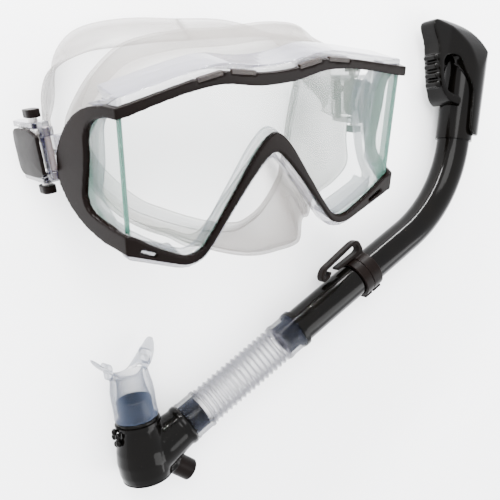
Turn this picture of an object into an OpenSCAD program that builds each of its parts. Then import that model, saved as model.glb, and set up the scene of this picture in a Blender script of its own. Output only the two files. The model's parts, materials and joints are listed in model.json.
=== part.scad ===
// Snorkelling set: a three-pane dive mask lying on its skirt, and a dry-top snorkel lying beside it.
// Units are millimetres. +Z is up from the table, +Y runs from the chin side to the forehead side.
// The mask has its own frame (x across, y to the forehead, z out of the front pane), and so has
// the snorkel (x along the straight barrel, y towards the mask, z up).

/* [Mask glass] */
// Half width of the flat front pane, to the glass joint
pane_half_w = 78; // [66:1:96]
// Length of a side pane, from the glass joint backwards
side_pane_l = 27; // [22:0.5:31]
// Angle that a side pane turns back from the front pane
side_turn = 70; // [62:1:76]
// Thickness of the tempered glass
glass_t = 4; // [3:0.5:5]
// Gap between a pane and the frame it lies in
glass_gap = 0.05; // [0.02:0.01:0.1]

/* [Mask frame] */
// Height scale of the whole mask outline
outline_scale = 1; // [0.85:0.01:1.2]
// Thickness of the black retaining bezel
bezel_t = 3; // [2:0.25:4.5]
// Wall of the clear frame
frame_wall = 3; // [2:0.25:4]
// How far the clear frame stands out past the bezel at the brow
brow_lip = 3; // [1.5:0.25:4.5]
// Depth of the clear frame at the brow and the chin
frame_depth = 24; // [18:1:32]
// Length of the side band, from the glass joint to its back edge
band_l = 43; // [38:1:50]

/* [Mask skirt] */
// Wall of the silicone skirt
skirt_wall = 2.2; // [1.5:0.1:3.5]
// Width of the lip that turns in against the face
seal_lip = 9; // [5:1:13]
// Depth of the skirt at the temples, from the front pane
skirt_depth = 86; // [78:1:96]
// Tilt of the mask as it lies on the table
mask_pitch = 20; // [10:1:26]

/* [Buckles] */
// Radius of the swivel pin
pin_r = 1.5; // [1.2:0.1:2]
// Running clearance of the pin, roller and buttons
run_gap = 0.06; // [0.03:0.01:0.1]
// Length of a buckle from its pin to its roller
buckle_l = 28; // [25:1:34]
// Width of the strap opening in a buckle
buckle_slot_w = 23; // [21:1:26]
// Travel of a pinch button
button_travel = 1.6; // [1:0.2:2.4]
// Diameter of the roller that the strap runs round
roller_d = 4; // [3:0.25:5]

/* [Strap] */
// Width of the strap band
strap_w = 22; // [16:1:24]
// Thickness of the strap band
strap_t = 2.2; // [1.6:0.1:3]

/* [Snorkel barrel] */
// Outer diameter of the barrel
barrel_d = 23; // [20:0.5:26]
// Wall of the barrel
barrel_wall = 1.8; // [1.2:0.1:2.5]
// Length of the straight stretch, from the hose joint to the bend
straight_l = 108; // [95:1:135]
// Radius of the bend, at the middle of the barrel
bend_r = 94; // [80:1:120]
// Angle of the bend
bend_angle = 51; // [40:1:60]

/* [Dry top] */
// Outer diameter of the dry top
top_d = 33; // [30:0.5:38]
// Length of the dry top
top_l = 80; // [74:1:88]
// How far the hood reaches out to the side
hood_reach = 40; // [36:1:46]
// Wall of the float chamber
chamber_wall = 1.5; // [1.2:0.1:2]

/* [Hose] */
// Outer diameter of the corrugated hose
hose_d = 24.5; // [22:0.5:27]
// Wall of the hose and its cuffs
hose_wall = 1.6; // [1.2:0.1:2.2]
// Length of the corrugated stretch
hose_l = 64; // [50:1:80]
// Length of a smooth cuff
cuff_l = 13; // [10:0.5:18]
// Corrugations along the hose
hose_ribs = 15; // [10:1:22]

/* [Mouthpiece and chamber] */
// Largest diameter of the lower chamber
chamber_d = 32; // [29:0.5:35]
// Outer diameter of the mouthpiece port
port_d = 20; // [18:0.5:22]
// Angle between the barrel and the mouthpiece port
port_angle = 68; // [60:1:80]
// Outer diameter of the purge outlet
outlet_d = 13; // [12:0.5:14]
// Inner diameter of the purge outlet
outlet_bore = 9.5; // [8:0.5:10]
// Width of the bite flange from wing to wing
bite_w = 42; // [38:1:50]
// Height of the bite flange
bite_h = 20; // [17:1:23]
// Turn of the mouthpiece on its port
bite_turn = 15; // [0:1:20]

/* [Keeper] */
// Where the keeper sits along the barrel
keeper_at = 61; // [55:1:70]
// Length of the keeper ring along the barrel
keeper_l = 15; // [10:1:18]
// Thickness of the keeper strip
keeper_t = 2; // [1.5:0.25:2.5]
// Clear width of the strap slot in the keeper
keeper_slot = 8; // [6:0.5:10]

/* [Table] */
// Place of the mask on the table, across
mask_x = -61.4; // [-90:0.1:-40]
// Place of the mask on the table, from the chin side to the forehead side
mask_y = 47.7; // [20:0.1:60]
// Place of the hose joint on the table, across, measured from the mask
snorkel_dx = 41.2; // [34:0.1:60]
// Place of the hose joint on the table, measured from the mask
snorkel_dy = -115.4; // [-140:0.1:-105]
// Turn of the barrel on the table
snorkel_turn = 20.8; // [15:0.1:28]

/* [Hidden] */
$fn = 64;
eps = 0.01;

clear_pc = "#c9c7d8";
black_pc = "#1d1918";
glass_green = "#b9d6cd";
silicone = "#e4e2e0";
steel = "#9a9796";
grey_brown = "#8d8080";

// ---------- outlines ----------

// A closed outline with each corner rounded; reach is how far the rounding runs along each side.
function rounded(p, reach, n = 3) = [
    for (i = [0 : len(p) - 1])
        let (b = p[i], a = p[(i + len(p) - 1) % len(p)], c = p[(i + 1) % len(p)],
             la = norm(a - b), lc = norm(c - b), t = min(reach, 0.48 * min(la, lc)))
        for (k = [0 : n])
            let (s = k / n)
            b + (1 - s) * (1 - s) * t * (a - b) / la + s * s * t * (c - b) / lc
];

// A right half from the top middle to the bottom middle, mirrored into a whole outline.
function both_sides(h) = concat(h,
    [for (i = [len(h) - 1 : -1 : 0]) if (h[i][0] > 0.5) [-h[i][0], h[i][1]]]);

// Every side of a clockwise outline moved inwards by d.
function inset(p, d) = [
    for (i = [0 : len(p) - 1])
        let (b = p[i], a = p[(i + len(p) - 1) % len(p)], c = p[(i + 1) % len(p)],
             u = (b - a) / norm(b - a), v = (c - b) / norm(c - b),
             n1 = [u[1], -u[0]], n2 = [v[1], -v[0]], m = n1 + n2)
        b + m * d / (1 + n1 * n2)
];

wide = pane_half_w / 78;
high = outline_scale;
far_x = pane_half_w + 40;

function sized(p) = [for (q = p) [q[0] * wide, q[1] * high]];

// Front view of the bezel: brow, temple, cheek lobe and nose notch.
bezel_half = sized([[0, 44.6], [13, 45.4], [27, 48.4], [42, 46.4], [58, 43], [74, 39.6], [88, 37],
    [118, 36], [118, -27], [84, -29], [71, -35], [59, -40.5], [49, -45], [40, -43], [32.5, -33],
    [22, -18], [10, -2.5], [0, 8]]);
// Front view of the clear opening.
opening_half = sized([[0, 38.6], [13, 39.4], [27, 42.6], [44, 41.4], [62, 37.6], [78, 33.4],
    [118, 30], [118, -19], [78, -20], [66.5, -29.5], [57, -35.5], [48, -40.5], [40, -38],
    [33, -28], [20, -8], [10, 8], [0, 18]]);

bezel_front = both_sides(bezel_half);
opening_front = both_sides(opening_half);

side_dir = [cos(side_turn), -sin(side_turn)];
side_nrm = [sin(side_turn), cos(side_turn)];
joint = [pane_half_w, 0];
band_z = -band_l * sin(side_turn);
pane_z = -side_pane_l * sin(side_turn);

// Half of the bent outer face, seen from above, moved in by d.
function face_corner(d) = joint - d * [tan(side_turn / 2), 1];
function bent_half(d, back) = let (c = face_corner(d)) [c, c + side_dir * (back / sin(side_turn))];

// The solid behind the bent face, moved in by d, reaching back by the depth back.
module behind_face(d, back) {
    h = bent_half(d, back);
    p = [h[0], h[1], [h[1][0], h[1][1] - 40], [-h[1][0], h[1][1] - 40], [-h[1][0], h[1][1]],
        [-h[0][0], h[0][1]]];
    rotate([90, 0, 0]) linear_extrude(160, center = true) polygon(p);
}

// Side view limit: the band's outline across the temples, as (z, y).
function side_view(grow, back) = [[12, 80], [-2, 80], [-4, (38 + grow) * high],
    [-14, (36.5 + grow) * high], [back * 0.62, (30.5 + grow) * high], [back * 0.84, (20 + grow) * high],
    [back - grow, 7 * high], [back - grow, -6 * high], [back * 0.86, (-17 - grow) * high],
    [back * 0.6, (-25.5 - grow) * high], [-12, (-29.5 - grow) * high],
    [-4, (-31 - grow) * high], [-2, -80], [12, -80]];

module side_prism(p) {
    rotate([0, -90, 0]) linear_extrude(2 * far_x + 60, center = true)
        polygon([for (q = p) [q[0], q[1]]]);
}

// A side view limit that only acts on the temples.
module temple_limit(p) {
    side_prism(p);
    translate([-pane_half_w, -90, -100]) cube([2 * pane_half_w, 180, 130]);
}

module front_prism(p, z0, z1) {
    translate([0, 0, z0]) linear_extrude(z1 - z0) polygon(p);
}

// ---------- mask frame ----------

band_view = rounded(side_view(0, band_z), 6);
window_side = rounded([[30, 80], [-3, 80], [-3, 33.2 * high], [-13, 30.5 * high],
    [-18.5, 24 * high], [-20, 8 * high], [pane_z + 1.5, -9 * high], [pane_z + 3.5, -15.5 * high],
    [-14, -18.6 * high], [-3, -20 * high], [-3, -80], [30, -80]], 5);

module windows(slack) {
    intersection() {
        front_prism(rounded(inset(opening_front, -slack), 9), -120, 20);
        temple_limit(window_side);
    }
}

// The bezel before it is opened: the layer that lies on the frame's face.
module bezel_blank() {
    difference() {
        intersection() {
            front_prism(rounded(bezel_front, 9), -60, bezel_t);
            behind_face(-bezel_t, 60);
            temple_limit(band_view);
        }
        behind_face(0, 60);
    }
}

module bezel() {
    color(black_pc) difference() {
        bezel_blank();
        windows(0);
        brow_windows();
        chin_slots();
    }
}

// The tinted windows in the brow, each split by a short post.
module brow_windows() {
    for (sx = [-1, 1]) for (side = [-1, 1])
        translate([sx * 27 * wide + side * 8.5, 46.9 * high - 0.5, 0])
            rotate(side * sx > 0 ? -9 * sx : 9 * sx) cube([13, 2.2, 20], center = true);
}

// The assembly slots beside the cheek lobes.
module chin_slots() {
    for (sx = [-1, 1])
        translate([sx * 69 * wide, -32.5 * high, 0]) rotate(sx * 30) cube([9, 2, 20], center = true);
}

module frame_body() {
    color(clear_pc) difference() {
        union() {
            intersection() {
                difference() {
                    front_prism(rounded(inset(bezel_front, -brow_lip), 9), -60, 0);
                    intersection() {
                        front_prism(rounded(inset(bezel_front, frame_wall - brow_lip), 9), -61, 1);
                        behind_face(glass_t + frame_wall, 60);
                    }
                }
                behind_face(0, 60);
                temple_limit(rounded(side_view(2, band_z), 6));
                frame_back();
            }
            difference() {
                for (sx = [1, -1]) hinge_side(sx) pivot_lug();
                bezel_blank();
            }
        }
        windows(-0.6);
        glass_seat();
        // The nose pocket passes behind the notch.
        translate([-47 * wide, -60, -60]) cube([94 * wide, 74 * high, 60 - glass_t - frame_wall]);
    }
}

// The back edge of the frame: shallow at the brow and chin, deep at the temples.
module frame_back() {
    d = -frame_depth;
    side_prism([[20, 90], [d, 90], [d, 38 * high], [d - 8, 33 * high], [band_z - 4, 24 * high],
        [band_z - 4, -20 * high], [d - 6, -30 * high], [d, -34 * high], [d, -90], [20, -90]]);
}

function pane_outline(slack) = rounded(inset(opening_front, -2.6 - slack), 8);

module glass_layer(slack) {
    difference() {
        behind_face(-slack, 60);
        behind_face(glass_t + slack, 61);
    }
}

module glass_seat() {
    intersection() {
        front_prism(pane_outline(glass_gap), -60, 1);
        glass_layer(glass_gap);
        side_prism([[20, 90], [pane_z - glass_gap, 90], [pane_z - glass_gap, -90], [20, -90]]);
    }
}

module front_lens() {
    w = pane_half_w - glass_gap;
    b = glass_t * tan(side_turn / 2);
    color(glass_green) intersection() {
        front_prism(pane_outline(0), -glass_t, 0);
        rotate([90, 0, 0]) linear_extrude(160, center = true)
            polygon([[-w, 0], [w, 0], [w - b, -glass_t], [-w + b, -glass_t]]);
    }
}

module side_lens(sx) {
    c0 = joint + side_dir * glass_gap;
    c1 = face_corner(glass_t) + side_dir * glass_gap;
    run = pane_z / side_dir[1];
    run_in = (pane_z + glass_t) / side_dir[1];
    color(glass_green) mirror([sx < 0 ? 1 : 0, 0, 0]) intersection() {
        front_prism(pane_outline(0), -60, 0);
        rotate([90, 0, 0]) linear_extrude(160, center = true)
            polygon([c0, joint + side_dir * run, face_corner(glass_t) + side_dir * run_in, c1]);
        side_prism(rounded(side_view(-3.5, pane_z - 6), 5));
    }
}

// ---------- skirt ----------

// Each ring is a right half of [x, y, z] from the top middle to the bottom middle.
deep = skirt_depth / 86;
function ring_pts(h) = [for (q = h) [q[0] * wide, q[1] * high, q[2] * deep]];
ring_seat = ring_pts([[0, 41, -24.2], [27, 44, -24.2], [58, 39, -24.2], [74, 33, -26], [80, 18, -37],
    [83, 3, -42], [79, -12, -38], [72, -24, -27], [60, -33, -24.4], [48, -38, -24.6],
    [36, -38.5, -15], [21.5, -19.5, -9.8], [9, -3.5, -8], [0, 5, -7.8]]);
ring_neck = ring_pts([[0, 44, -27], [27, 46.5, -27.5], [56, 42, -29], [73, 34.5, -33], [80.5, 18.5, -44],
    [83.5, 3, -49], [79.5, -13, -45], [71.5, -26, -35], [59.5, -36, -30], [47, -43, -27],
    [35.5, -45.5, -15], [18.5, -22, -10.2], [7.5, -8, -8.8], [0, -2, -8.6]]);
ring_body = ring_pts([[0, 49, -31], [27, 50, -32], [53, 46, -36], [71, 36, -43], [80, 19, -52],
    [83, 3, -57], [79, -14, -54], [70, -28, -45], [58, -39, -38], [45, -44, -32],
    [34, -46, -17], [21, -42, -1], [11, -38, 8], [0, -36, 10]]);
ring_cheek = ring_pts([[0, 54, -42], [27, 54, -43], [53, 48, -48], [69, 37, -56], [77, 20, -67],
    [80, 3, -73], [76, -15, -71], [68, -31, -61], [56, -42, -50], [44, -47, -42],
    [33, -50, -25], [22, -50, -7], [12, -49, 3], [0, -48, 6]]);
ring_rim = ring_pts([[0, 56, -50], [27, 56.5, -51], [51, 52, -56], [64, 41, -63], [72, 23, -77],
    [77, 4, -86], [72, -16, -84], [63, -31, -75], [52, -42, -65], [41, -47, -56],
    [30, -51, -48], [20, -54, -42], [10, -56, -38], [0, -57, -36]]);

function whole_ring(h) = concat(h, [for (i = [len(h) - 2 : -1 : 1]) [-h[i][0], h[i][1], h[i][2]]]);

// A smooth closed curve through a ring's points, k steps between each two.
function smooth_ring(r, k = 3) = let (n = len(r)) [
    for (i = [0 : n - 1]) for (j = [0 : k - 1])
        let (s = j / k, a = r[(i + n - 1) % n], b = r[i], c = r[(i + 1) % n], d = r[(i + 2) % n])
        0.5 * (2 * b + (c - a) * s + (2 * a - 5 * b + 4 * c - d) * s * s
            + (3 * b - a - 3 * c + d) * s * s * s)
];

// The ring moved in towards the face opening by d, and forwards by f.
function ring_in(r, d, f = 0) = let (n = len(r)) [
    for (i = [0 : n - 1])
        let (t = r[(i + 1) % n] - r[(i + n - 1) % n], l = norm([t[0], t[1]]))
        r[i] + [t[1] / l * d, -t[0] / l * d, f]
];

// A closed loft through rings; the last ring joins the first.
module ring_loft(rings) {
    n = len(rings[0]);
    m = len(rings);
    polyhedron([for (r = rings) for (p = r) p],
        [for (k = [0 : m - 1]) for (i = [0 : n - 1])
            let (a = k * n + i, b = k * n + (i + 1) % n, c = ((k + 1) % m) * n + i,
                 d = ((k + 1) % m) * n + (i + 1) % n)
            for (f = [[a, b, d], [a, d, c]]) f], convexity = 8);
}

skirt_rings = [for (r = [ring_seat, ring_neck, ring_body, ring_cheek, ring_rim])
    smooth_ring(whole_ring(r))];
skirt_lip = ring_in(skirt_rings[4], seal_lip, 3);

module skirt() {
    color(silicone) ring_loft(concat(skirt_rings,
        [skirt_lip, ring_in(skirt_lip, 0.6, 1.6), ring_in(skirt_rings[4], skirt_wall, 2.4),
         ring_in(skirt_rings[3], skirt_wall, 0.6), ring_in(skirt_rings[2], skirt_wall, 0.2),
         ring_in(skirt_rings[1], skirt_wall, -0.2), ring_in(skirt_rings[0], skirt_wall)]));
}

// Height of the mask's origin: the lowest point of the rim stands on the table.
mask_lift = -min([for (p = skirt_rings[4]) p[1] * sin(mask_pitch) + p[2] * cos(mask_pitch)]);

module mask_pose() {
    translate([mask_x, mask_y, mask_lift]) rotate([mask_pitch, 0, 0]) children();
}

// ---------- buckles ----------
// Buckle frame: x back from the pin, y along the pin, z outwards from the head.

pin_at = [pane_half_w + band_l * cos(side_turn) + 3.2, 6 * high, band_z - 6];
buckle_out = 7;
buckle_drop = 12;
knuckle_r = pin_r + 1.8;
knuckle_y = 8.5;
arm_in = buckle_slot_w / 2 + 0.4;
arm_t = 2.8;
bridge_top = 0.6;
cover_z = roller_d / 2 + strap_t + 0.8;
button_u = 12;
stem_r = 1.3;
cap_gap = button_travel + 0.4;
roller_l = 2 * arm_in - 0.6;

function mirror_x(p, sx) = [sx * p[0], p[1], p[2]];
function turned_z(p, a) = [p[0] * cos(a) - p[1] * sin(a), p[0] * sin(a) + p[1] * cos(a), p[2]];
function buckle_pt(q, sx) = let (d = turned_z(q, -buckle_drop),
    m = [sin(buckle_out) * d[0] + cos(buckle_out) * d[2], d[1],
         -cos(buckle_out) * d[0] + sin(buckle_out) * d[2]])
    mirror_x(pin_at + m, sx);
function on_table(p) = [mask_x + p[0], mask_y + p[1] * cos(mask_pitch) - p[2] * sin(mask_pitch),
    mask_lift + p[1] * sin(mask_pitch) + p[2] * cos(mask_pitch)];

module hinge_side(sx) {
    mirror([sx < 0 ? 1 : 0, 0, 0]) translate(pin_at) rotate([0, 90 - buckle_out, 0])
        rotate([0, 0, -buckle_drop]) children();
}

module across(l) {
    rotate([90, 0, 0]) translate([0, 0, -l / 2]) children();
}

module pivot_lug() {
    difference() {
        union() {
            across(2 * knuckle_y) cylinder(r = knuckle_r, h = 2 * knuckle_y);
            translate([-12, -knuckle_y, -7.5]) cube([12, 2 * knuckle_y, 6]);
        }
        across(60) cylinder(r = pin_r + 0.01, h = 60);
    }
}

module pivot_pin(sx) {
    l = 2 * (knuckle_y + 4);
    color(grey_brown) mask_pose() hinge_side(sx) across(l) cylinder(r = pin_r, h = l);
}

module buckle(sx) {
    end = buckle_l + roller_d / 2 + 2.5;
    color(clear_pc) mask_pose() hinge_side(sx) difference() {
        union() {
            for (s = [-1, 1]) {
                translate([0, s * (knuckle_y + run_gap + 2), 0]) across(4)
                    cylinder(r = knuckle_r, h = 4);
                translate([0, s * (knuckle_y + run_gap + 2) - 2, -2.6]) cube([6, 4, 3.2]);
                translate([3.8, s > 0 ? arm_in : -arm_in - arm_t, -3.6])
                    cube([end - 7.4, arm_t, cover_z + 3.6]);
                translate([end - 3.6, s * (arm_in + arm_t / 2), cover_z / 2 - 1.8]) across(arm_t)
                    cylinder(d = cover_z + 3.6, h = arm_t);
            }
            translate([3.8, -arm_in - eps, -2.6]) cube([6, 2 * arm_in + 2 * eps, bridge_top + 2.6]);
        }
        across(60) cylinder(r = pin_r + run_gap, h = 60);
        translate([-8, -knuckle_y - run_gap, -8]) cube([11.6, 2 * (knuckle_y + run_gap), 20]);
        translate([buckle_l, 0, 0]) across(2 * (arm_in + 1.6))
            cylinder(d = roller_d + 2 * run_gap, h = 2 * (arm_in + 1.6));
        translate([button_u, 0, 1]) across(60) cylinder(r = stem_r + run_gap, h = 60);
    }
}

module buckle_cover(sx) {
    w = arm_in - 0.3;
    color(black_pc) mask_pose() hinge_side(sx) {
        translate([2.5, 0, cover_z]) linear_extrude(1.8) polygon(rounded([[0, w - 1.5], [12, w],
            [buckle_l - 2, w], [buckle_l + 1, w - 5], [buckle_l + 1, 5 - w], [buckle_l - 2, -w],
            [12, -w], [0, 1.5 - w]], 3));
        for (s = [-1, 1]) translate([5, s * (w - 4) - 1.5, bridge_top]) cube([3, 3, cover_z - bridge_top]);
    }
}

module strap_roller(sx) {
    l = 2 * (arm_in + 1.6) - 0.2;
    color(steel) mask_pose() hinge_side(sx) translate([buckle_l, 0, 0]) across(l)
        cylinder(d = roller_d, h = l);
}

module pinch_button(sx, sy) {
    y0 = arm_in + arm_t + cap_gap;
    color(black_pc) mask_pose() hinge_side(sx) mirror([0, sy < 0 ? 1 : 0, 0]) {
        translate([button_u, y0, 1]) rotate([-90, 0, 0]) linear_extrude(4)
            polygon(rounded([[-5.5, -2.2], [-3, -3.4], [3, -3.4], [5.5, -2.2], [5.5, 2.2], [3, 3.4],
                [-3, 3.4], [-5.5, 2.2]], 2));
        translate([button_u, arm_in - 1, 1]) rotate([-90, 0, 0])
            cylinder(r = stem_r, h = y0 - arm_in + 1);
    }
}

module button_springs(sx) {
    color(steel) mask_pose() hinge_side(sx) for (sy = [-1, 1]) mirror([0, sy < 0 ? 1 : 0, 0])
        translate([button_u, arm_in + arm_t, 1]) rotate([-90, 0, 0]) difference() {
            cylinder(r = stem_r + 0.9, h = cap_gap);
            translate([0, 0, -1]) cylinder(r = stem_r + 0.2, h = cap_gap + 2);
        }
}

// ---------- strap ----------

roll = roller_d / 2 + strap_t / 2 + 0.5;
// The tail under the cover and the turn round the roller, in the buckle frame.
strap_turn = concat([[10, 0, roll], [20, 0, roll]],
    [for (a = [90 : -22.5 : -90]) [buckle_l + roll * cos(a), 0, roll * sin(a)]], [[buckle_l - 7, 0, -roll - 4]]);
// The loop behind the mask, on the table, measured from the mask: centre, then width direction.
strap_loop = [[[-89.5, 35, 14], [0.1, 0.7, 0.7]], [[-87, 41, 12.3], [-0.2, 0.4, 0.87]],
    [[-84, 49, 11.4], [-0.4, 0.2, 0.88]], [[-80, 59, 11.2], [-0.4, -0.1, 0.9]],
    [[-72, 68.5, 11.2], [-0.2, -0.4, 0.87]], [[-60, 75.5, 10.8], [0, -0.6, 0.78]],
    [[-45, 78, 10], [0.06, -0.7, 0.68]], [[-24, 78.5, 10], [0.1, -0.7, 0.68]],
    [[0, 77, 10.3], [0.1, -0.65, 0.75]], [[25, 75.5, 11], [0, -0.6, 0.8]],
    [[47, 72, 11.3], [-0.05, -0.4, 0.9]], [[66, 66, 11.2], [0.3, -0.2, 0.9]],
    [[78, 57.5, 11.2], [0.4, 0, 0.9]], [[84, 49, 11.4], [0.4, 0.2, 0.88]],
    [[87, 41, 12.3], [0.2, 0.4, 0.87]], [[89.5, 35, 14], [-0.1, 0.7, 0.7]]];

function buckle_station(q, sx) = [on_table(buckle_pt(q, sx)),
    on_table(buckle_pt(q + [0, 1, 0], sx)) - on_table(buckle_pt(q, sx))];
strap_stations = concat([for (q = strap_turn) buckle_station(q, -1)],
    [for (s = strap_loop) [s[0] + [mask_x, mask_y, 0], s[1]]],
    [for (i = [len(strap_turn) - 1 : -1 : 0]) buckle_station(strap_turn[i], 1)]);

// A flat band through stations of a centre and a width direction.
module ribbon(st, w, t) {
    n = len(st);
    pts = [for (i = [0 : n - 1])
        let (d = st[min(i + 1, n - 1)][0] - st[max(i - 1, 0)][0], u = d / norm(d),
             v0 = st[i][1] - u * (st[i][1] * u), v = v0 / norm(v0), m = cross(u, v), c = st[i][0])
        for (k = [[1, 1], [-1, 1], [-1, -1], [1, -1]]) c + v * k[0] * w / 2 + m * k[1] * t / 2];
    polyhedron(pts, concat([[0, 1, 2, 3]], [[4 * n - 1, 4 * n - 2, 4 * n - 3, 4 * n - 4]],
        [for (i = [0 : n - 2]) for (k = [0 : 3])
            let (a = 4 * i + k, b = 4 * i + (k + 1) % 4)
            for (f = [[a, a + 4, b + 4], [a, b + 4, b]]) f]), convexity = 10);
}

module strap() {
    color(silicone) ribbon(strap_stations, strap_w, strap_t);
}

// ---------- snorkel ----------
// x runs from the mouthpiece end to the dry top, and x = 0 is the end of the barrel at the hose.

barrel_r = barrel_d / 2;
spigot_r = barrel_r - 1.7;
cuff_r = hose_d / 2;
flange_w = 3;
hose_top = -flange_w - cuff_l;
hose_mid = hose_top - hose_l / 2;
hose_end = hose_top - hose_l;
arm_l = 31.5;
hub = hose_end - cuff_l - arm_l;
fit = 0.05;

module snorkel_pose() {
    translate([mask_x + snorkel_dx, mask_y + snorkel_dy, top_d / 2]) rotate(snorkel_turn) children();
}

module along_x(x0, x1) {
    translate([x0, 0, 0]) rotate([0, 90, 0]) linear_extrude(x1 - x0) children();
}

module tube(x0, x1, ro, ri) {
    difference() {
        along_x(x0, x1) circle(ro);
        along_x(x0 - 1, x1 + 1) circle(ri);
    }
}

module bend() {
    translate([straight_l, bend_r, 0]) rotate(-90) rotate_extrude(angle = bend_angle, $fn = 120)
        translate([bend_r, 0]) children();
}

module barrel() {
    color(black_pc) snorkel_pose() {
        tube(0, straight_l, barrel_r, barrel_r - barrel_wall);
        tube(-flange_w - cuff_l + 2, 0, spigot_r, spigot_r - 1.6);
        bend() difference() {
            circle(barrel_r);
            circle(barrel_r - barrel_wall);
        }
    }
}

module hose_flange() {
    color(black_pc) snorkel_pose() tube(-flange_w, 0, cuff_r + 0.8, spigot_r + fit);
}

module cuff(x0, x1, inner) {
    tube(x0, x1, cuff_r, inner);
    tube(x0, x0 + 1.5, cuff_r + 0.4, inner);
    tube(x1 - 1.5, x1, cuff_r + 0.4, inner);
}

module upper_cuff() {
    color(silicone) snorkel_pose() cuff(hose_top, -flange_w, spigot_r + fit);
}

module lower_cuff() {
    color(silicone) snorkel_pose() cuff(hose_end - cuff_l, hose_end, spigot_r + fit);
}

// One closed tube wall that swells at each corrugation.
module flex_hose() {
    pitch = hose_l / hose_ribs;
    outer = [for (i = [0 : hose_ribs - 1]) for (q = [[0, -1.2], [0.3, 0], [0.7, 0], [0.98, -1.2]])
        [cuff_r + q[1], (i + q[0]) * pitch]];
    inner = [for (i = [len(outer) - 1 : -1 : 0]) [outer[i][0] - hose_wall, outer[i][1]]];
    end = [[cuff_r - 1.2, hose_l], [cuff_r - 1.2 - hose_wall, hose_l]];
    color(silicone) snorkel_pose() translate([hose_end, 0, 0]) rotate([0, 90, 0])
        rotate_extrude() polygon(concat(outer, end, inner));
}

// ---------- keeper ----------

keeper_split = keeper_l * 0.45;

module keeper_ring() {
    r = barrel_r + keeper_t;
    color(black_pc) snorkel_pose() difference() {
        union() {
            along_x(keeper_at - keeper_l / 2, keeper_at - keeper_l / 2 + keeper_split - 0.1) circle(r);
            translate([keeper_at - keeper_l / 2, -r - 1.2, -5])
                cube([keeper_split - 0.1, 6, 10]);
        }
        along_x(keeper_at - keeper_l, keeper_at + keeper_l) circle(barrel_r + fit);
    }
}

module keeper_clip() {
    x1 = keeper_at + keeper_l / 2;
    x0 = x1 - keeper_l + keeper_split;
    y0 = barrel_r + keeper_t + 0.4;
    y1 = y0 + keeper_slot;
    run = 33;
    t = keeper_t;
    loop = [[x1 - 1, y0 - 1.6], [x1 + 1.2, y0 + 2], [x1 + 0.6, y1 + t - 1], [x1 - 4, y1 + t],
        [x1 - run, y1 + t - 2], [x1 - run - 5, y1 - 4], [x1 - run - 4.5, y0 - 0.2],
        [x1 - run + 1.5, y0 + 0.2], [x1 - run + 4.5, y0 + 2.8], [x1 - run + 3.2, y0 + 4],
        [x1 - run + 0.5, y0 + t], [x1 - run - 2.2, y0 + t], [x1 - run - 2.4, y1 - 5],
        [x1 - run + 1, y1 - 2.2], [x1 - 5, y1 - 0.2], [x1 - 2, y1 - 2], [x1 - 2.5, y0 + 2.6],
        [x1 - 6, y0 + t], [x1 - run + 9, y0 + t + 0.4], [x1 - run + 9, y0 + 0.4], [x0 + 1, y0 - 0.4],
        [x0 + 1, y0 - 1.6]];
    color(black_pc) snorkel_pose() difference() {
        union() {
            along_x(x0, x1) circle(barrel_r + keeper_t);
            translate([0, 0, -3]) linear_extrude(6) polygon(rounded(loop, 2.2));
            translate([keeper_at, -barrel_r - keeper_t - 1.2, -5])
                cube([x1 - keeper_at, 6, 10]);
        }
        along_x(x0 - 1, x1 + 1) circle(barrel_r + fit);
    }
}

// ---------- dry top ----------
// x runs on from the end of the bend, y is the intake side.

chamber_r = barrel_r + 1.4;
float_r = chamber_r - chamber_wall - 1.6;
seat_x = top_l * 0.7;
float_x = 27;
float_l = 16;
seal_t = 2;
float_travel = seat_x - float_x - float_l - seal_t - 4;
guide_r = 1.5;
spider_x = 6;

module bend_end() {
    translate([straight_l, bend_r, 0]) rotate(bend_angle) translate([0, -bend_r, 0]) children();
}

module dry_top_pose() {
    snorkel_pose() bend_end() children();
}

module dry_top_housing() {
    w = chamber_wall;
    bore_r = barrel_r - barrel_wall;
    // Profile of the shell, as (radius, distance along the axis).
    color(black_pc) dry_top_pose() rotate([0, 90, 0]) rotate_extrude()
        polygon([[bore_r, 0.02], [chamber_r, 0.02], [chamber_r, seat_x + w], [7, seat_x + w],
            [7, seat_x], [chamber_r - w, seat_x], [chamber_r - w, 22], [barrel_r + fit, 12],
            [barrel_r + fit, spider_x], [bore_r, spider_x]]);
}

// The guide pin stands on a spoked ring in the neck of the housing.
module float_pin() {
    color(steel) dry_top_pose() {
        tube(spider_x, spider_x + 2, barrel_r, barrel_r - 2.5);
        along_x(spider_x + 0.5, float_x + float_l + seal_t + float_travel + 1.5) circle(guide_r);
        for (a = [0, 90]) rotate([a, 0, 0])
            translate([spider_x + 0.3, -barrel_r + 2, -0.8]) cube([1.4, 2 * barrel_r - 4, 1.6]);
    }
}

module float_valve() {
    color("#d8d5cf") dry_top_pose() tube(float_x, float_x + float_l, float_r, guide_r + run_gap);
}

module valve_seal() {
    color(silicone) dry_top_pose()
        tube(float_x + float_l, float_x + float_l + seal_t, float_r - 2, guide_r + run_gap);
}

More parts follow.
